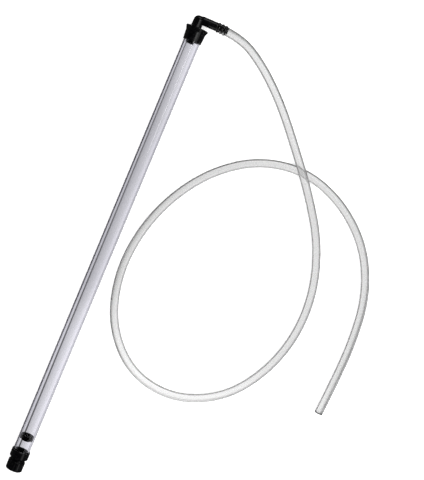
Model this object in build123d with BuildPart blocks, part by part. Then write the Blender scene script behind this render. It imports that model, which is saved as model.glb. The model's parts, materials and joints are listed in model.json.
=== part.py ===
from build123d import *
import math
import os

os.makedirs("parts", exist_ok=True)

# A slim self-starting gravel vacuum: a clear tube with a capped top and a strainer at its foot, a barbed
# elbow that swivels in the cap, and a clear hose. It lies on the floor, z = 0, with +Y towards the cap.
# All sizes are in millimetres. A "station" is a distance along the tube's axis from near its middle.

# ---- Driving dimensions ----
OVERALL_L = 736.9  # strainer face to the upper side of the elbow's arm
ARM_STATION = 361.7  # of the elbow's arm
TUBE_OD, TUBE_WALL = 25.0, 2.0
HOSE_OD, HOSE_ID = 12.7, 9.5
SEAM = 0.05  # gap between fixed pieces that plug together
GASKET_T = 1.5

# Cap and elbow
FLANGE_R, FLANGE_LIP, FLANGE_H = 17.1, 1.2, 6.3
CAP_SHOULDER_R, CAP_R, CAP_H, CAP_WEB = 14.9, 14.0, 21.1, 4.0
PORT_OFFSET = 2.4  # the elbow's port stands off the tube's axis, away from the hose
BOSS_R, BOSS_L = 7.1, 16.6
LEG_R, LEG_TOP_R, LEG_RISE = 7.9, 7.6, 12.8
CORNER_R, CORNER_TOP, ARM_ROOT_R, ARM_ROOT_L = 7.0, 5.5, 5.0, 6.0  # the rounded bend between leg and arm
SPIGOT_R, SPIGOT_L, SPIGOT_BORE_R = 6.0, 25.2, 3.6
ARM_R, ARM_END, BARB_TIP, ARM_BORE_R = 6.4, 25.6, 43.3, 3.2
BARB_R, BARB_ROOT_R, BARB_PITCH, BARB_COUNT = 5.6, 4.9, 5.2, 3
RING_R, RING_DEPTH, RING_GAP_W = 6.6, 0.7, 5.0  # split ring that keeps the elbow in
ORING_R, ORING_MAJOR_R = 0.7, 5.32
ORING_DEPTHS = {"upper": 8.0, "lower": 16.0}

# Foot, strainer and valve
COLLAR_R, COLLAR_L, COLLAR_BEVEL = 14.25, 14.7, 3.4
NECK_R, NECK_GAP, NECK_L, NECK_BORE_R = 10.5, 2.4, 11.2, 8.4
COLLAR_SOCKET = 10.9
CUP_R, CUP_L, CUP_BORE_R, CUP_FLOOR, CUP_LEDGE, CUP_BEVEL = 12.85, 15.1, 10.7, 1.6, 2.8, 1.0
CUP_FLUTES, FLUTE_R, FLUTE_FOOT = 20, 0.7, 3.0
CUP_SLOTS, SLOT_W, SLOT_INNER_R, SLOT_OUTER_R = 8, 2.2, 3.4, 8.8
SCREEN_R, SCREEN_T, SCREEN_HOLE_R = 10.3, 1.0, 1.1
VALVE_TOP = -311.1  # station of the valve's upper face
VALVE_R, VALVE_H, HUB_R, HUB_H, PORT_R = 10.4, 6.2, 6.75, 2.5, 4.4
CHAMBER_R, CHAMBER_H, CAGE_H, CAGE_RIM_R, SPOKE_W = 7.6, 5.0, 1.4, 6.0, 1.4
POPPET_R, POPPET_T, WASHER_R, WASHER_T, WING_R, WING_T, WING_L = 5.8, 1.1, 5.6, 0.8, 4.2, 1.2, 4.0
VALVE_SEAL_R, VALVE_SEAL_DEPTH = 0.75, 3.2
TOUCH = 0.05  # daylight under the washer when the valve is shut

# ---- Stations and the wand's slight slope ----
TUBE_R, TUBE_BORE_R = TUBE_OD / 2, TUBE_OD / 2 - TUBE_WALL
FLANGE_TOP = ARM_STATION - LEG_RISE
CAP_BOTTOM = FLANGE_TOP - CAP_H
CAP_CEILING = FLANGE_TOP - CAP_WEB
ELBOW_TOP = ARM_STATION + CORNER_TOP
FOOT_END = ARM_STATION + ARM_R - OVERALL_L
CUP_RIM = FOOT_END + CUP_L
COLLAR_BOTTOM = CUP_RIM + NECK_GAP
COLLAR_TOP = COLLAR_BOTTOM + COLLAR_L
SOCKET_FLOOR = COLLAR_TOP - COLLAR_SOCKET
TUBE_TOP = CAP_CEILING - GASKET_T
TUBE_BOTTOM = SOCKET_FLOOR + GASKET_T
VALVE_BOTTOM = VALVE_TOP - VALVE_H
CHAMBER_FLOOR = VALVE_TOP - CHAMBER_H

# The wide flange and the narrower collar both rest on the floor, so the axis climbs towards the cap.
REST_HIGH, REST_LOW = FLANGE_TOP - FLANGE_LIP, COLLAR_BOTTOM + COLLAR_BEVEL
SLOPE = math.atan((FLANGE_R - COLLAR_R) / (REST_HIGH - REST_LOW))
AXIS_X = -(BARB_TIP - FLANGE_R) / 2
LEG_X = AXIS_X - PORT_OFFSET
AXIS_Z = FLANGE_R * math.cos(SLOPE) - REST_HIGH * math.sin(SLOPE)
ALONG = (0, math.cos(SLOPE), math.sin(SLOPE))
UP = (0, -math.sin(SLOPE), math.cos(SLOPE))


def section(x):
    """The plane through the axis at x, where a point is (radius, station)."""
    return Plane(origin=(x, 0, AXIS_Z), x_dir=(1, 0, 0), z_dir=UP)


def across(x, station):
    """The plane square to the axis at x, at a station."""
    centre = (x, station * ALONG[1], AXIS_Z + station * ALONG[2])
    return Plane(origin=centre, x_dir=(1, 0, 0), z_dir=ALONG)


def axis_at(x):
    return Axis((x, 0, AXIS_Z), ALONG)


def save(part, node):
    part.part.label = node
    export_step(part.part, f"parts/{node}.step")


# ---- Gravel tube ----
with BuildPart() as gravel_tube:
    with BuildSketch(across(AXIS_X, TUBE_BOTTOM)):
        Circle(TUBE_R)
        Circle(TUBE_BORE_R, mode=Mode.SUBTRACT)
    extrude(amount=TUBE_TOP - TUBE_BOTTOM)
save(gravel_tube, "gravel_tube")

# ---- Top cap: a flared cup over the tube's end, with an off-centre boss for the elbow ----
with BuildPart() as top_cap:
    with BuildSketch(section(AXIS_X)):
        with BuildLine():
            Polyline(
                (0, FLANGE_TOP), (FLANGE_R, FLANGE_TOP), (FLANGE_R, FLANGE_TOP - FLANGE_LIP),
                (CAP_SHOULDER_R, FLANGE_TOP - FLANGE_H), (CAP_R, CAP_BOTTOM),
                (TUBE_R + SEAM, CAP_BOTTOM), (TUBE_R + SEAM, CAP_CEILING), (0, CAP_CEILING), close=True,
            )
        make_face()
    revolve(axis=axis_at(AXIS_X))
    with BuildSketch(across(LEG_X, CAP_CEILING)):
        Circle(BOSS_R)
    extrude(amount=-BOSS_L)
    with BuildSketch(across(LEG_X, FLANGE_TOP)):
        Circle(SPIGOT_R + SEAM)
    extrude(amount=-(CAP_WEB + BOSS_L), mode=Mode.SUBTRACT)
    fillet(top_cap.edges().filter_by(GeomType.CIRCLE).filter_by(lambda e: abs(e.radius - FLANGE_R) < 0.01), 0.4)
save(top_cap, "top_cap")

# ---- Flat gaskets at the tube's two ends ----
for node, station in (("cap_gasket", TUBE_TOP), ("foot_gasket", SOCKET_FLOOR)):
    with BuildPart() as gasket:
        with BuildSketch(across(AXIS_X, station)):
            Circle(TUBE_R - 2 * SEAM)
            Circle(TUBE_BORE_R, mode=Mode.SUBTRACT)
        extrude(amount=GASKET_T)
    save(gasket, node)

# ---- Elbow: spigot, leg, rounded corner and barbed arm, bored right through ----
ARM_PLANE = Plane(origin=across(LEG_X, ARM_STATION).origin, x_dir=(1, 0, 0), z_dir=UP)
ARM_AXIS = Axis(ARM_PLANE.origin, (1, 0, 0))
ARM_START, ARM_STOP = ARM_END + PORT_OFFSET, BARB_TIP + PORT_OFFSET
RING_TOP = FLANGE_TOP - CAP_WEB - BOSS_L - 0.3
RING_BOTTOM = FLANGE_TOP - SPIGOT_L + 0.7
RING_SEAT_R = SPIGOT_R - RING_DEPTH

barb_outline = [
    (0, 0), (0, ARM_ROOT_R), (ARM_ROOT_L, ARM_R), (ARM_START, ARM_R), (ARM_START, BARB_ROOT_R),
]
for i in range(BARB_COUNT):
    ridge = ARM_START + 2.6 + i * BARB_PITCH
    barb_outline += [(ridge, BARB_ROOT_R), (ridge, BARB_R), (ridge + 4.4, BARB_ROOT_R)]
barb_outline += [(ARM_STOP, BARB_ROOT_R - 0.3), (ARM_STOP, 0)]

with BuildPart() as elbow:
    with BuildSketch(section(LEG_X)) as leg:
        with BuildLine():
            Polyline(
                (0, ELBOW_TOP), (LEG_TOP_R, ELBOW_TOP), (LEG_R, FLANGE_TOP + 0.2),
                (SPIGOT_R, FLANGE_TOP + 0.2), (SPIGOT_R, RING_TOP), (RING_SEAT_R, RING_TOP),
                (RING_SEAT_R, RING_BOTTOM), (SPIGOT_R, RING_BOTTOM), (SPIGOT_R, FLANGE_TOP - SPIGOT_L),
                (0, FLANGE_TOP - SPIGOT_L), close=True,
            )
        make_face()
        fillet(leg.vertices().sort_by(Axis.Y)[-2:].sort_by(Axis.X)[-1], CORNER_R)
        for depth in ORING_DEPTHS.values():
            with Locations((SPIGOT_R, FLANGE_TOP - depth)):
                Rectangle(4 * ORING_R, 2 * ORING_R + 0.2, mode=Mode.SUBTRACT)
    revolve(axis=axis_at(LEG_X))
    with BuildSketch(ARM_PLANE):
        with BuildLine():
            Polyline(*barb_outline, close=True)
        make_face()
    revolve(axis=ARM_AXIS)
    with BuildSketch(across(LEG_X, FLANGE_TOP - SPIGOT_L)):
        Circle(SPIGOT_BORE_R)
    extrude(amount=ARM_STATION - FLANGE_TOP + SPIGOT_L, mode=Mode.SUBTRACT)
    with Locations(ARM_PLANE):
        Sphere(SPIGOT_BORE_R, mode=Mode.SUBTRACT)
    with BuildSketch(Plane(origin=ARM_PLANE.origin, x_dir=(0, 1, 0), z_dir=(1, 0, 0))):
        Circle(ARM_BORE_R)
    extrude(amount=ARM_STOP, mode=Mode.SUBTRACT)
save(elbow, "elbow")

for place, depth in ORING_DEPTHS.items():
    with BuildPart() as elbow_o_ring:
        with BuildSketch(section(LEG_X)):
            with Locations((ORING_MAJOR_R, FLANGE_TOP - depth)):
                Circle(ORING_R)
        revolve(axis=axis_at(LEG_X))
    save(elbow_o_ring, f"elbow_o_ring_{place}")

with BuildPart() as elbow_retaining_ring:
    with BuildSketch(across(LEG_X, RING_BOTTOM + SEAM)):
        Circle(RING_R)
        Circle(RING_SEAT_R + SEAM, mode=Mode.SUBTRACT)
        with Locations((RING_R, 0)):
            Rectangle(RING_R, RING_GAP_W, mode=Mode.SUBTRACT)
    extrude(amount=RING_TOP - RING_BOTTOM - 2 * SEAM)
save(elbow_retaining_ring, "elbow_retaining_ring")

# ---- Foot collar: a socket for the tube above, and the strainer's neck below ----
NECK_BOTTOM = COLLAR_BOTTOM - NECK_L
with BuildPart() as foot_collar:
    with BuildSketch(section(AXIS_X)):
        with BuildLine():
            Polyline(
                (NECK_BORE_R, NECK_BOTTOM), (NECK_R - 0.6, NECK_BOTTOM), (NECK_R, NECK_BOTTOM + 0.6),
                (NECK_R, COLLAR_BOTTOM), (COLLAR_R, REST_LOW), (COLLAR_R, COLLAR_TOP - 0.6),
                (COLLAR_R - 0.6, COLLAR_TOP), (TUBE_R + SEAM, COLLAR_TOP), (TUBE_R + SEAM, SOCKET_FLOOR),
                (NECK_BORE_R, SOCKET_FLOOR), close=True,
            )
        make_face()
    revolve(axis=axis_at(AXIS_X))
save(foot_collar, "foot_collar")

# ---- Strainer cup: fluted grip, slotted end ----
LEDGE = FOOT_END + CUP_FLOOR + CUP_LEDGE
SCREEN_BOTTOM = LEDGE + 0.2
with BuildPart() as strainer_cup:
    with BuildSketch(section(AXIS_X)):
        with BuildLine():
            Polyline(
                (0, FOOT_END), (CUP_R - CUP_BEVEL, FOOT_END), (CUP_R, FOOT_END + CUP_BEVEL),
                (CUP_R, CUP_RIM - 0.4), (CUP_R - 0.4, CUP_RIM), (CUP_BORE_R, CUP_RIM),
                (CUP_BORE_R, LEDGE), (CUP_BORE_R - 1.5, LEDGE),
                (CUP_BORE_R - 1.5, FOOT_END + CUP_FLOOR), (0, FOOT_END + CUP_FLOOR), close=True,
            )
        make_face()
    revolve(axis=axis_at(AXIS_X))
    with BuildSketch(across(AXIS_X, FOOT_END + FLUTE_FOOT)):
        with PolarLocations(CUP_R + FLUTE_R / 2, CUP_FLUTES):
            Circle(FLUTE_R)
    extrude(until=Until.LAST, mode=Mode.SUBTRACT)
    with BuildSketch(across(AXIS_X, FOOT_END)):
        with PolarLocations((SLOT_OUTER_R + SLOT_INNER_R) / 2, CUP_SLOTS):
            SlotOverall(SLOT_OUTER_R - SLOT_INNER_R, SLOT_W)
    extrude(amount=CUP_FLOOR, mode=Mode.SUBTRACT)
save(strainer_cup, "strainer_cup")

# ---- Loose screen inside the cup ----
with BuildPart() as strainer_screen:
    with BuildSketch(across(AXIS_X, SCREEN_BOTTOM)):
        Circle(SCREEN_R)
        Circle(SCREEN_HOLE_R, mode=Mode.SUBTRACT)
        for ring in (1, 2, 3):
            with PolarLocations(ring * 3.0, ring * 6):
                Circle(SCREEN_HOLE_R, mode=Mode.SUBTRACT)
    extrude(amount=SCREEN_T)
save(strainer_screen, "strainer_screen")

# ---- Check valve: a ring held in the bore, a cage over its chamber, and a winged poppet ----
with BuildPart() as valve_body:
    with BuildSketch(section(AXIS_X)):
        with BuildLine():
            Polyline(
                (PORT_R, VALVE_BOTTOM - HUB_H), (HUB_R, VALVE_BOTTOM - HUB_H), (HUB_R, VALVE_BOTTOM),
                (VALVE_R, VALVE_BOTTOM), (VALVE_R, VALVE_TOP), (CHAMBER_R, VALVE_TOP),
                (CHAMBER_R, CHAMBER_FLOOR), (PORT_R, CHAMBER_FLOOR), close=True,
            )
        make_face()
        with Locations((VALVE_R, VALVE_TOP - VALVE_SEAL_DEPTH)):
            Rectangle(4 * VALVE_SEAL_R, 2 * VALVE_SEAL_R + 0.2, mode=Mode.SUBTRACT)
    revolve(axis=axis_at(AXIS_X))
save(valve_body, "valve_body")

with BuildPart() as valve_seal:
    with BuildSketch(section(AXIS_X)):
        with Locations((TUBE_BORE_R - SEAM - VALVE_SEAL_R, VALVE_TOP - VALVE_SEAL_DEPTH)):
            Circle(VALVE_SEAL_R)
    revolve(axis=axis_at(AXIS_X))
save(valve_seal, "valve_seal")

with BuildPart() as valve_cage:
    with BuildSketch(across(AXIS_X, VALVE_TOP)):
        Circle(CHAMBER_R - SEAM)
        Circle(CAGE_RIM_R, mode=Mode.SUBTRACT)
        with Locations(*[Rotation(0, 0, angle) for angle in (0, 90)]):
            Rectangle(2 * CAGE_RIM_R + 1, SPOKE_W)
    extrude(amount=-CAGE_H)
save(valve_cage, "valve_cage")

WASHER_BOTTOM = CHAMBER_FLOOR + TOUCH
with BuildPart() as poppet_washer:
    with BuildSketch(across(AXIS_X, WASHER_BOTTOM)):
        Circle(WASHER_R)
        Circle(WING_R + 2 * SEAM, mode=Mode.SUBTRACT)
    extrude(amount=WASHER_T)
save(poppet_washer, "poppet_washer")

with BuildPart() as valve_poppet:
    with BuildSketch(across(AXIS_X, WASHER_BOTTOM + WASHER_T)):
        Circle(POPPET_R)
    extrude(amount=POPPET_T)
    with BuildSketch(across(AXIS_X, WASHER_BOTTOM + WASHER_T)):
        for angle in (45, 135):
            with Locations(Rotation(0, 0, angle)):
                Rectangle(2 * WING_R, WING_T)
    extrude(amount=-(WING_L + WASHER_T))
save(valve_poppet, "valve_poppet")

# ---- Hose: leaves the elbow along +X, passes over itself once and ends cut square ----
HOSE_Z = HOSE_OD / 2
ARM_Z = ARM_PLANE.origin.Z
HOSE_START = ARM_AXIS.position + Vector(ARM_START, 0, 0)
HOSE_ROUTE = [
    HOSE_START, (50, HOSE_START.Y, ARM_Z), (94, 338.5, 15), (142, 298, 14), (190, 243, 20.5),
    (237, 186, 20.5), (278, 127, 12), (303.5, 57, HOSE_Z), (306, -17.5, HOSE_Z), (284, -88.5, HOSE_Z),
    (239.5, -148, HOSE_Z), (168.5, -179, HOSE_Z), (94, -165, HOSE_Z), (41, -110, HOSE_Z),
    (19.5, -37.5, HOSE_Z), (23.5, 35, HOSE_Z), (47.5, 104, HOSE_Z), (89.5, 164, HOSE_Z),
    (148.5, 206.5, HOSE_Z), (221, 219, HOSE_Z), (291.5, 194.5, HOSE_Z), (348.5, 145.5, HOSE_Z),
    (381, 78.5, HOSE_Z), (389.5, 4.5, HOSE_Z), (388.5, -58, HOSE_Z), (385.5, -115, HOSE_Z),
]
RUN_SHARE = 0.45  # of the shorter run beside a corner, taken up by the arc

corners = [Vector(point) for point in HOSE_ROUTE]
runs = [b - a for a, b in zip(corners, corners[1:])]
bend_radii = [
    RUN_SHARE * min(a.length, b.length) / math.tan(math.radians(a.get_angle(b) / 2))
    for a, b in zip(runs, runs[1:])
]
print("bend radii, mm:", [round(r) for r in bend_radii])
print("runs, mm:", [round(run.length) for run in runs])

with BuildPart() as hose:
    with BuildLine() as hose_path:
        FilletPolyline(*corners, radius=bend_radii)
    with BuildSketch(Plane(origin=corners[0], z_dir=(1, 0, 0))):
        Circle(HOSE_OD / 2)
        Circle(HOSE_ID / 2, mode=Mode.SUBTRACT)
    sweep(path=hose_path.wire())
save(hose, "hose")

hose_length = sum(edge.length for edge in hose_path.edges())
hose_section = math.pi * (HOSE_OD**2 - HOSE_ID**2) / 4
print(f"hose length {hose_length:.0f} mm, volume {hose.part.volume:.0f} mm3")
print(f"section times length {hose_section * hose_length:.0f} mm3")
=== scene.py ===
import json
import math

import bpy
from mathutils import Matrix, Vector


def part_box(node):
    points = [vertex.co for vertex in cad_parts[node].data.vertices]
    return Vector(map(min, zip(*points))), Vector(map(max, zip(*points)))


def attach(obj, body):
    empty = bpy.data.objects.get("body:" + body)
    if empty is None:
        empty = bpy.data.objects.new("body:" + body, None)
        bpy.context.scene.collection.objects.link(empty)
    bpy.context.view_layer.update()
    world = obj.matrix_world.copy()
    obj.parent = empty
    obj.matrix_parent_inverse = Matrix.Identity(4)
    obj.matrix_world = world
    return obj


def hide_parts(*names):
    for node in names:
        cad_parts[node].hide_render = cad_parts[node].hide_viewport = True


# A clear gravel vacuum tube lying on a pale floor, with its black cap, elbow and strainer, and a clear hose.
# Everything is in metres, in the CAD frame: the floor is z = 0 and +Y points to the cap.

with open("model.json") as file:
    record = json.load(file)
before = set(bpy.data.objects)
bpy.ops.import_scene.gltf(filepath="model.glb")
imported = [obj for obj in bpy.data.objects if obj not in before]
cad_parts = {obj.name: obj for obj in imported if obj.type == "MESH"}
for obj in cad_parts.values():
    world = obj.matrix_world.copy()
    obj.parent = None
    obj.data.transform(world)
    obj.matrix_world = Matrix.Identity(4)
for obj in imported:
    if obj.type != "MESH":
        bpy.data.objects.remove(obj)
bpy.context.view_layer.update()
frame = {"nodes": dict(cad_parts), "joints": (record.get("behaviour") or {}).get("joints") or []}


# ---- Camera: above the object, looking almost straight down ----
CAMERA_AT = Vector((-0.0132, 0.1922, 1.6386))
CAMERA_FORWARD = Vector((0.0869, -0.0751, -0.9934))
CAMERA_UP = Vector((-0.3834, 0.9178, -0.1029))
CAMERA_LENS = 81.8
CAMERA_SEES = 60  # past the floor's far edge


def make_camera():
    camera = bpy.data.objects.new("camera", bpy.data.cameras.new("camera"))
    back = -CAMERA_FORWARD.normalized()
    right = CAMERA_UP.cross(back).normalized()
    up = back.cross(right)
    turn = Matrix((right, up, back)).transposed().to_4x4()
    camera.matrix_world = Matrix.Translation(CAMERA_AT) @ turn
    camera.data.lens = CAMERA_LENS
    camera.data.clip_end = CAMERA_SEES
    bpy.context.collection.objects.link(camera)
    bpy.context.scene.camera = camera


make_camera()


# ---- Hose: its route, and a tube with a real wall that swells over the elbow's barbs ----
HOSE_D, HOSE_BORE = 0.0127, 0.0095
HOSE_EXIT = (0.0125, 0.3617, 0.01715)
HOSE_Z = HOSE_D / 2
HOSE_ROUTE = [
    HOSE_EXIT, (0.050, 0.3617, 0.01715), (0.094, 0.3385, 0.015), (0.142, 0.298, 0.014),
    (0.190, 0.243, 0.0205), (0.237, 0.186, 0.0205), (0.278, 0.127, 0.012), (0.3035, 0.057, HOSE_Z),
    (0.306, -0.0175, HOSE_Z), (0.284, -0.0885, HOSE_Z), (0.2395, -0.148, HOSE_Z), (0.1685, -0.179, HOSE_Z),
    (0.094, -0.165, HOSE_Z), (0.041, -0.110, HOSE_Z), (0.0195, -0.0375, HOSE_Z), (0.0235, 0.035, HOSE_Z),
    (0.0475, 0.104, HOSE_Z), (0.0895, 0.164, HOSE_Z), (0.1485, 0.2065, HOSE_Z), (0.221, 0.219, HOSE_Z),
    (0.2915, 0.1945, HOSE_Z), (0.3485, 0.1455, HOSE_Z), (0.381, 0.0785, HOSE_Z), (0.3895, 0.0045, HOSE_Z),
    (0.3885, -0.058, HOSE_Z), (0.3855, -0.115, HOSE_Z),
]
RINGS_PER_SPAN = 64
THINNED = 3  # past the barbs, every third point of the line carries a ring
SAME_PLACE = 1e-6
HOSE_SIDES = 56
HOSE_LIP = 0.0002  # the bevel at the cut ends
BARB_END = 0.0176  # how far the barbs reach into the hose
BARB_FADE = 0.0022  # over which the hose returns to its own size
BARB_RIDGES = [0.0028, 0.0080, 0.0132]
BARB_ROOT_R, RIDGE_REACH = 0.0049, 0.0013
BORE_GRIP = 0.00005  # the bore clings this far inside the barb's root
ROOT_SWELL, RIDGE_SWELL = 0.00005, 0.0015  # how far the outside swells between the ridges, and over them


def hose_line():
    """Points along one smooth NURBS curve whose control points are the route."""
    curve = bpy.data.curves.new("hose_line", "CURVE")
    curve.dimensions = "3D"
    curve.resolution_u = RINGS_PER_SPAN
    spline = curve.splines.new("NURBS")
    spline.points.add(len(HOSE_ROUTE) - 1)
    for point, place in zip(spline.points, HOSE_ROUTE):
        point.co = (*place, 1)
    spline.order_u = 3
    spline.use_endpoint_u = True
    holder = bpy.data.objects.new("hose_line", curve)
    mesh = bpy.data.meshes.new_from_object(holder)
    points = [vertex.co.copy() for vertex in mesh.vertices]
    bpy.data.objects.remove(holder)
    return points


def on_barbs(along):
    """1 over the barbs, falling smoothly to 0 past their end."""
    return (1 - math.tanh((along - BARB_END) / BARB_FADE)) / 2


def outer_radius(along):
    ridges = sum(math.exp(-(((along - ridge) / RIDGE_REACH) ** 2)) for ridge in BARB_RIDGES)
    return HOSE_D / 2 + (ROOT_SWELL + RIDGE_SWELL * min(ridges, 1)) * on_barbs(along)


def bore_radius(along):
    return HOSE_BORE / 2 + (BARB_ROOT_R - BORE_GRIP - HOSE_BORE / 2) * on_barbs(along)


def make_mesh_object(name, vertices, faces, smooth=True):
    mesh = bpy.data.meshes.new(name)
    mesh.from_pydata(vertices, [], faces)
    mesh.validate()
    mesh.polygons.foreach_set("use_smooth", [smooth] * len(mesh.polygons))
    piece = bpy.data.objects.new(name, mesh)
    bpy.context.collection.objects.link(piece)
    return piece


def pipe(name, frames, outer_radii, bore_radii, lip, sides):
    """A closed pipe with a real wall: along the outside, over one bevelled lip and back along the bore.

    Each frame is a centre and two cross directions."""
    outer, bore = list(outer_radii), list(bore_radii)
    for end in (0, -1):
        outer[end] -= lip
        bore[end] += lip
    rings = [*zip(frames, outer), *reversed([*zip(frames, bore)])]
    vertices = []
    for (centre, across_1, across_2), radius in rings:
        for i in range(sides):
            angle = 2 * math.pi * i / sides
            spoke_1 = across_1 * (radius * math.cos(angle))
            spoke_2 = across_2 * (radius * math.sin(angle))
            vertices.append(centre + spoke_1 + spoke_2)
    faces = []
    for ring in range(len(rings)):
        here, there = ring * sides, (ring + 1) % len(rings) * sides
        for i in range(sides):
            j = (i + 1) % sides
            faces.append((here + i, here + j, there + j, there + i))
    return make_mesh_object(name, vertices, faces)


def ring_frames(centres):
    """A centre and two cross directions at each point of a line, the first of them level with the floor."""
    frames = []
    for i, centre in enumerate(centres):
        ahead = centres[min(i + 1, len(centres) - 1)] - centres[max(i - 1, 0)]
        side = Vector((0, 0, 1)).cross(ahead).normalized()
        frames.append((centre, side, ahead.normalized().cross(side)))
    return frames


def make_hose():
    line = hose_line()
    dense = [i for i, point in enumerate(line) if (point - line[0]).length < 2 * BARB_END]
    centres = [line[i] for i in dense] + line[dense[-1] + THINNED :: THINNED]
    if (centres[-1] - line[-1]).length > SAME_PLACE:
        centres.append(line[-1])
    along = [0.0]
    for a, b in zip(centres, centres[1:]):
        along.append(along[-1] + (b - a).length)
    outer, bore = [outer_radius(s) for s in along], [bore_radius(s) for s in along]
    hose = pipe("clear_hose", ring_frames(centres), outer, bore, HOSE_LIP, HOSE_SIDES)
    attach(hose, "elbow_and_hose")
    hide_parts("hose")
    return hose


hose = make_hose()


# ---- Gravel tube: clear acrylic with a 2 mm wall ----
TUBE_R, TUBE_BORE_R = 0.0125, 0.0105
TUBE_LIP, TUBE_EDGE = 0.0003, 0.004  # the bevel at the ends, and the last ring before each
TUBE_SPANS, TUBE_SIDES = 24, 128


def wand_axis():
    """Where the tube's axis crosses its two ends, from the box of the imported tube."""
    swivel = next(joint for joint in frame["joints"] if joint["name"] == "wand_swivel")
    low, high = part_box("gravel_tube")
    x = (low[0] + high[0]) / 2
    along = -Vector(swivel["axis"]).normalized()
    half_rise = TUBE_R * along.y
    start = Vector((x, low[1] + TUBE_R * abs(along.z), low[2] + half_rise))
    end = Vector((x, high[1] - TUBE_R * abs(along.z), high[2] - half_rise))
    return start, end


def make_gravel_tube():
    start, end = wand_axis()
    along = (end - start).normalized()
    side = Vector((1, 0, 0))
    length = (end - start).length
    middle = [length * i / TUBE_SPANS for i in range(1, TUBE_SPANS)]
    stations = [0, TUBE_LIP, TUBE_EDGE, *middle, length - TUBE_EDGE, length - TUBE_LIP, length]
    frames = [(start + along * s, side, along.cross(side)) for s in stations]
    outer, bore = [TUBE_R] * len(frames), [TUBE_BORE_R] * len(frames)
    tube = pipe("clear_gravel_tube", frames, outer, bore, TUBE_LIP, TUBE_SIDES)
    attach(tube, "wand")
    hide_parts("gravel_tube")
    return tube


tube = make_gravel_tube()


# ---- Materials ----
class NodeTree:
    """A small helper for building node trees."""

    def __init__(self, tree):
        self.tree = tree

    def add(self, kind, links=(), **settings):
        node = self.tree.nodes.new(kind)
        for key, value in settings.items():
            setattr(node, key, value)
        for socket, source in dict(links).items():
            self.put(node.inputs[socket], source)
        return node

    def put(self, socket, source):
        if isinstance(source, bpy.types.NodeSocket):
            self.tree.links.new(source, socket)
        else:
            socket.default_value = source

    def object_place(self, scale=(1, 1, 1)):
        place = self.add("ShaderNodeTexCoord").outputs["Object"]
        return self.add("ShaderNodeMapping", {"Vector": place, "Scale": scale}).outputs["Vector"]

    def noise(self, place, scale, detail=2.0, roughness=0.5):
        links = {"Vector": place, "Scale": scale, "Detail": detail, "Roughness": roughness}
        return self.add("ShaderNodeTexNoise", links).outputs["Fac"]

    def dot(self, place, direction):
        made = self.add("ShaderNodeVectorMath", {0: place, 1: direction}, operation="DOT_PRODUCT")
        return made.outputs["Value"]

    def spread(self, value, low, high, from_low=0.3, from_high=0.7):
        links = {"From Min": from_low, "From Max": from_high, "To Min": low, "To Max": high}
        return self.add("ShaderNodeMapRange", {"Value": value, **links}).outputs["Result"]

    def ramp(self, value, stops):
        made = self.add("ShaderNodeValToRGB", {"Fac": value})
        elements = made.color_ramp.elements
        while len(elements) < len(stops):
            elements.new(0.5)
        for element, (position, colour) in zip(elements, stops):
            element.position = position
            element.color = (*colour, 1)
        return made.outputs["Color"]

    def levels(self, value, stops):
        """A grey level that follows a value through (value, level) stops."""
        low, high = stops[0][0], stops[-1][0]
        spread = self.spread(value, 0, 1, low, high)
        return self.ramp(spread, [((at - low) / (high - low), (level,) * 3) for at, level in stops])

    def bump(self, height, depth, strength, normal=None):
        links = {"Height": height, "Distance": depth, "Strength": strength}
        if normal is not None:
            links["Normal"] = normal
        return self.add("ShaderNodeBump", links).outputs["Normal"]

    def mix(self, first, second, factor, blend="MIX"):
        made = self.add("ShaderNodeMix", data_type="RGBA", blend_type=blend)
        for socket, source in (("Factor", factor), ("A", first), ("B", second)):
            self.put(made.inputs[socket], source)
        return made.outputs["Result"]


class Nodes(NodeTree):
    """The node tree of a new material."""

    def __init__(self, name):
        self.material = bpy.data.materials.new(name)
        self.material.use_nodes = True
        super().__init__(self.material.node_tree)
        self.shader = self.tree.nodes["Principled BSDF"]
        self.output = self.tree.nodes["Material Output"]


DIE_DEPTH = 0.000004  # of the extrusion lines in clear plastic
SATIN_DEPTH, RUBBER_DEPTH = 0.00003, 0.00004  # of the grain on moulded plastic, and on rubber
EDGE_R = 0.0004  # how round the moulded edges look


def clear_material(name, tint, ior, roughness, absorb, density, die_scale, haze):
    """Clear plastic: real refraction, absorption in the wall, and faint lines from the extrusion die."""
    n = Nodes(name)
    blotches = n.noise(n.object_place(), scale=45, detail=3)
    die_lines = n.noise(n.object_place(die_scale), scale=1, detail=4, roughness=0.6)
    paler = tuple(min(1, channel * 1.03) for channel in tint)
    n.put(n.shader.inputs["Base Color"], n.ramp(blotches, [(0.3, tint), (0.7, paler)]))
    n.put(n.shader.inputs["Roughness"], n.spread(blotches, *roughness))
    n.put(n.shader.inputs["Normal"], n.bump(die_lines, DIE_DEPTH, strength=haze))
    n.shader.inputs["IOR"].default_value = ior
    n.shader.inputs["Transmission Weight"].default_value = 1.0
    volume = n.add("ShaderNodeVolumeAbsorption")
    volume.inputs["Color"].default_value = (*absorb, 1)
    volume.inputs["Density"].default_value = density
    n.tree.links.new(volume.outputs["Volume"], n.output.inputs["Volume"])
    return n.material


def black_plastic(name, shine):
    """Moulded black plastic with a fine satin grain and slightly rounded edges."""
    n = Nodes(name)
    place = n.object_place()
    broad = n.noise(place, scale=90, detail=4)
    grain = n.noise(place, scale=3800, detail=2)
    colours = [(0.3, (0.0006, 0.0006, 0.0008)), (0.75, (0.0014, 0.0014, 0.0018))]
    n.put(n.shader.inputs["Base Color"], n.ramp(broad, colours))
    n.put(n.shader.inputs["Roughness"], n.spread(broad, 0.20, 0.31))
    rounded = n.add("ShaderNodeBevel", {"Radius": EDGE_R}, samples=4).outputs["Normal"]
    n.put(n.shader.inputs["Normal"], n.bump(grain, SATIN_DEPTH, strength=0.25, normal=rounded))
    n.shader.inputs["IOR"].default_value = 1.5
    n.shader.inputs["Specular IOR Level"].default_value = shine
    return n.material


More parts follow.
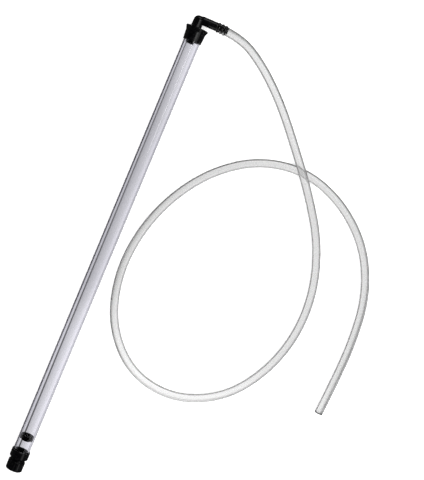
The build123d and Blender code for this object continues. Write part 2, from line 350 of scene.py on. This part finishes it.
def black_rubber(name):
    """Matt black rubber with a soft grain."""
    n = Nodes(name)
    place = n.object_place()
    broad = n.noise(place, scale=160, detail=4)
    grain = n.noise(place, scale=2600, detail=3)
    colours = [(0.3, (0.004, 0.004, 0.004)), (0.7, (0.008, 0.008, 0.008))]
    n.put(n.shader.inputs["Base Color"], n.ramp(broad, colours))
    n.put(n.shader.inputs["Roughness"], n.spread(broad, 0.55, 0.7))
    n.put(n.shader.inputs["Normal"], n.bump(grain, RUBBER_DEPTH, strength=0.4))
    n.shader.inputs["IOR"].default_value = 1.52
    n.shader.inputs["Specular IOR Level"].default_value = 0.06
    return n.material


def dress(piece, material):
    piece.data.materials.clear()
    piece.data.materials.append(material)


ACRYLIC = clear_material(
    "clear_acrylic_mat", tint=(0.99, 0.99, 1.0), ior=1.49, roughness=(0.03, 0.06),
    absorb=(0.872, 0.865, 0.925), density=280, die_scale=(500, 2, 500), haze=0.03,
)
VINYL = clear_material(
    "clear_vinyl_mat", tint=(0.99, 0.99, 0.99), ior=1.53, roughness=(0.16, 0.22),
    absorb=(0.865, 0.865, 0.865), density=150, die_scale=(40, 40, 40), haze=0.04,
)
PLASTIC = black_plastic("black_plastic_mat", shine=0.5)
INNER_PLASTIC = black_plastic("black_inner_plastic_mat", shine=0.02)  # of pieces seen through clear plastic
RUBBER = black_rubber("black_rubber_mat")
MATERIAL_OF = {
    **dict.fromkeys(("top_cap", "elbow", "elbow_retaining_ring", "foot_collar", "strainer_cup"), PLASTIC),
    **dict.fromkeys(("valve_body", "valve_cage", "valve_poppet", "strainer_screen"), INNER_PLASTIC),
    **dict.fromkeys(("cap_gasket", "foot_gasket", "elbow_o_ring_upper", "elbow_o_ring_lower"), RUBBER),
    **dict.fromkeys(("valve_seal", "poppet_washer"), RUBBER),
}

dress(tube, ACRYLIC)
dress(hose, VINYL)
for node, material in MATERIAL_OF.items():
    for slot in frame["nodes"][node].material_slots:
        slot.material = material


# ---- Stage: floor, a filter plane that paints shade into clear pieces, room and lamps ----
# Clear pieces are seen against the bright lower half of the room, through a hidden filter plane whose stops
# paint the shade and dark lines seen inside them.
FLOOR_REACH = 30
FLOOR_Z = -0.00003
FLOOR_GLOW = (0.4, 0.9)  # near the object, and far off where the lamps no longer reach
GLOW_RISES = (1.0, 4.0)  # distances between which the glow grows
GLOSS_ROOM = 0.07  # reflections see the room this much dimmer
TABLE_DEPTH = 0.28
TABLE_LEAN = 0.022  # the painted shade across the filter follows the wand's slight turn
# Each stop is a place and how much of the light the filter lets through there. Together the stops paint
# shade into the clear pieces, and the dark strip near x = -0.05 paints the dark line inside the tube's left
# side.
PAINTED_SHADE_X = [
    (-0.40, 0.15), (-0.22, 0.15), (-0.18, 0.64), (-0.063, 0.64), (-0.055, 0.05), (-0.0445, 0.05),
    (-0.039, 0.54), (0.00, 0.76), (0.03, 0.86), (0.08, 0.97), (0.15, 1.0), (0.46, 1.0), (0.56, 0.25),
    (0.80, 0.20),
]
PAINTED_SHADE_Y = [
    (-0.80, 1.0), (-0.20, 1.0), (-0.10, 0.82), (0.05, 0.80), (0.20, 0.76), (0.32, 0.87), (0.40, 0.87),
    (0.50, 0.25), (0.85, 0.20),
]
FAR_LEFT_RING, NEAR_RIGHT_RING = 0.06, 0.76  # how bright the room's ring is on either side
SIDES_BLEND = 0.45  # how far to either side of the middle the two sides blend


def room_levels(ring):
    """The room's level by height of direction: a bright middle below, a darker ring, and dim above."""
    below = [(-1.0, 1.25), (-0.95, 1.25), (-0.905, ring), (-0.66, ring), (-0.58, 1.0), (0.0, 0.95)]
    return below + [(0.05, 0.80), (0.30, 0.60), (0.55, 0.05), (1.0, 0.02)]


def make_plane(name, low, high, height):
    corners = [(low[0], low[1]), (high[0], low[1]), (high[0], high[1]), (low[0], high[1])]
    plane = make_mesh_object(name, [Vector((*corner, height)) for corner in corners], [(0, 1, 2, 3)], False)
    return plane


def make_floor():
    """A pale matt floor that glows a little. Refracted and mirrored rays pass through it."""
    floor = make_plane("floor", (-FLOOR_REACH, -FLOOR_REACH), (FLOOR_REACH, FLOOR_REACH), FLOOR_Z)
    n = Nodes("floor_mat")
    place = n.object_place()
    fleck = n.noise(place, scale=30, detail=2)
    distance = n.add("ShaderNodeVectorMath", {0: place}, operation="LENGTH").outputs["Value"]
    greys = [(0.3, (0.88, 0.88, 0.88)), (0.7, (0.90, 0.90, 0.90))]
    n.put(n.shader.inputs["Base Color"], n.ramp(fleck, greys))
    n.shader.inputs["Roughness"].default_value = 1.0
    n.shader.inputs["Specular IOR Level"].default_value = 0.0
    n.shader.inputs["Emission Color"].default_value = (1, 1, 1, 1)
    n.put(n.shader.inputs["Emission Strength"], n.spread(distance, *FLOOR_GLOW, *GLOW_RISES))
    dress(floor, n.material)
    floor.visible_transmission = False
    floor.visible_glossy = False


def make_painted_shade_filter():
    """A filter under the floor that paints shade into clear pieces by darkening the room behind them. Only
    refracted rays meet it.
    """
    low, high = (PAINTED_SHADE_X[0][0], PAINTED_SHADE_Y[0][0]), (PAINTED_SHADE_X[-1][0], PAINTED_SHADE_Y[-1][0])
    table = make_plane("painted_shade_filter", low, high, -TABLE_DEPTH)
    n = Nodes("painted_shade_filter_mat")
    place = n.add("ShaderNodeTexCoord").outputs["Object"]
    # painted shade: these levels across and along the wand darken the room seen through the clear pieces
    across = n.levels(n.dot(place, (1, TABLE_LEAN, 0)), PAINTED_SHADE_X)
    along = n.levels(n.add("ShaderNodeSeparateXYZ", {"Vector": place}).outputs["Y"], PAINTED_SHADE_Y)
    pane = n.add("ShaderNodeBsdfTransparent", {"Color": n.mix(across, along, 1.0, "MULTIPLY")})
    n.tree.links.new(pane.outputs["BSDF"], n.output.inputs["Surface"])
    dress(table, n.material)
    table.visible_camera = False
    table.visible_diffuse = False
    table.visible_glossy = False
    table.visible_shadow = False


def make_world():
    """The room. Its ring is dark on the far left and pale on the near right. Reflections see it dimmed."""
    world = bpy.data.worlds.new("studio")
    bpy.context.scene.world = world
    world.use_nodes = True
    n = NodeTree(world.node_tree)
    place = n.add("ShaderNodeTexCoord").outputs["Generated"]
    height = n.add("ShaderNodeSeparateXYZ", {"Vector": place}).outputs["Z"]
    side = n.spread(n.dot(place, (1, -1, 0)), 0, 1, -SIDES_BLEND, SIDES_BLEND)
    far_left, near_right = [n.levels(height, room_levels(r)) for r in (FAR_LEFT_RING, NEAR_RIGHT_RING)]
    background = n.tree.nodes["Background"]
    n.put(background.inputs["Color"], n.mix(far_left, near_right, side))
    ray = n.add("ShaderNodeLightPath").outputs
    links = {0: ray["Is Glossy Ray"], 1: ray["Is Transmission Ray"]}
    mirrored = n.add("ShaderNodeMath", links, operation="SUBTRACT", use_clamp=True).outputs["Value"]
    n.put(background.inputs["Strength"], n.spread(mirrored, 1, GLOSS_ROOM, 0, 1))


def make_lamp(name, at, target, size, power, glossy=True):
    lamp = bpy.data.objects.new(name, bpy.data.lights.new(name, "AREA"))
    lamp.data.shape = "RECTANGLE"
    lamp.data.size, lamp.data.size_y = size
    lamp.data.energy = power
    lamp.location = at
    lamp.rotation_euler = (Vector(target) - Vector(at)).to_track_quat("-Z", "Y").to_euler()
    lamp.visible_glossy = glossy
    lamp.visible_transmission = False
    bpy.context.collection.objects.link(lamp)


make_floor()
make_painted_shade_filter()
make_world()
make_lamp("fill", at=(0.2, 0.1, 2.6), target=(0.2, 0.05, 0), size=(3.0, 3.0), power=110, glossy=False)
make_lamp("strip", at=(1.25, -0.20, 1.15), target=(0.0, -0.20, 0), size=(2.0, 0.6), power=3)
make_lamp("key", at=(0.60, 0.50, 1.30), target=(0.0, 0.42, 0), size=(0.8, 0.3), power=2.4)
make_lamp("front", at=(0.3, -1.8, 0.7), target=(0.0, -0.36, 0), size=(1.6, 0.8), power=5)
make_lamp("back", at=(0.3, 1.9, 0.8), target=(0.0, 0.36, 0), size=(1.6, 0.8), power=5)

bpy.context.scene.view_settings.view_transform = "Standard"
bpy.context.scene.cycles.max_bounces = 32
bpy.context.scene.cycles.transmission_bounces = 28
